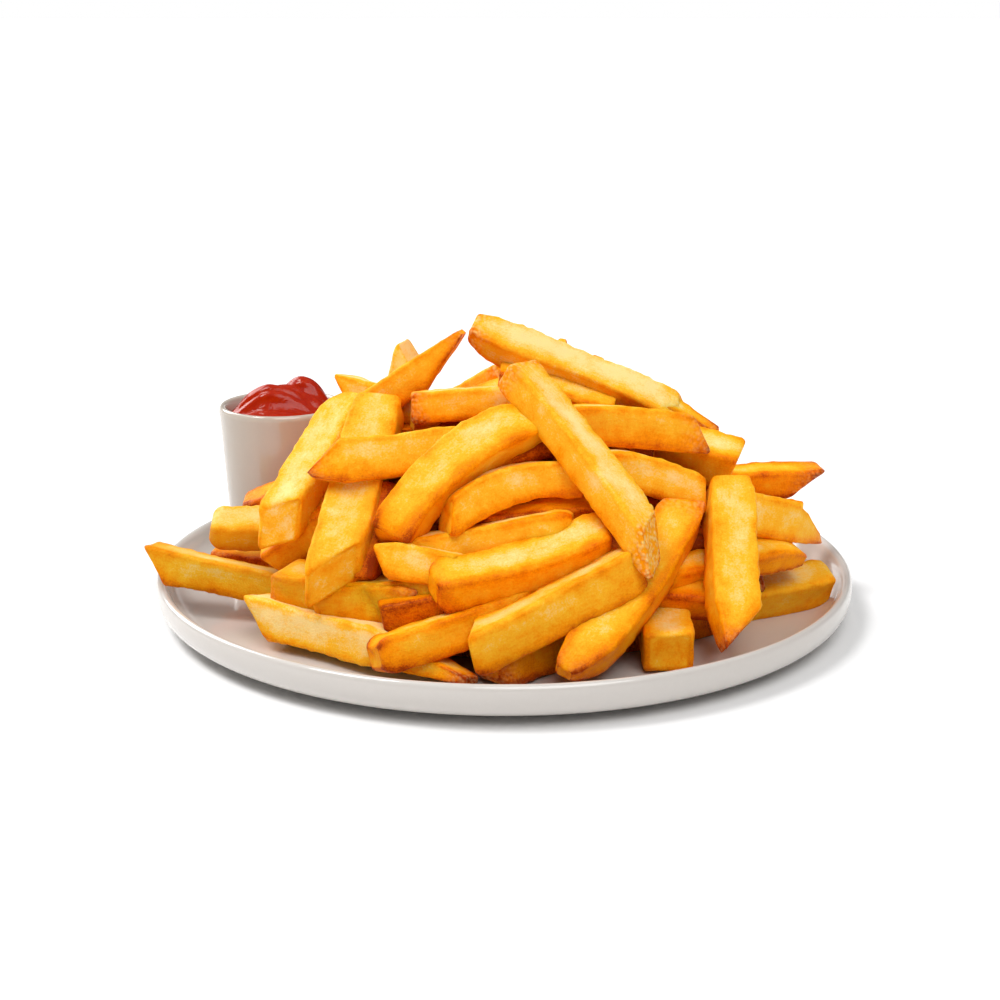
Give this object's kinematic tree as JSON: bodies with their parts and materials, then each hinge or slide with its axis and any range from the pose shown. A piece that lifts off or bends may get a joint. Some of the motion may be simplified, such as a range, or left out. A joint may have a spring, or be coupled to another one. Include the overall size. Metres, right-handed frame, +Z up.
{
  "type": "plate of french fries",
  "caption": "Round white dinner plate heaped with thick-cut french fries, with a small white pot of ketchup at the back left.",
  "frame": {"origin": "middle of the plate's foot, on the table", "axes": "+Z up; -Y is the front of the plate that the picture looks at, and +X is to its right"},
  "size_m": [0.27, 0.27, 0.1129],
  "materials": {
    "plate": "white glaze",
    "pot": "white glaze",
    "ketchup": "wet gloss",
    "fries": "fried, slightly oily"
  },
  "bodies": {
    "root": {"plate": "plate", "pot": "pot", "ketchup": "ketchup", "fries": "fries"}
  },
  "joints": []
}
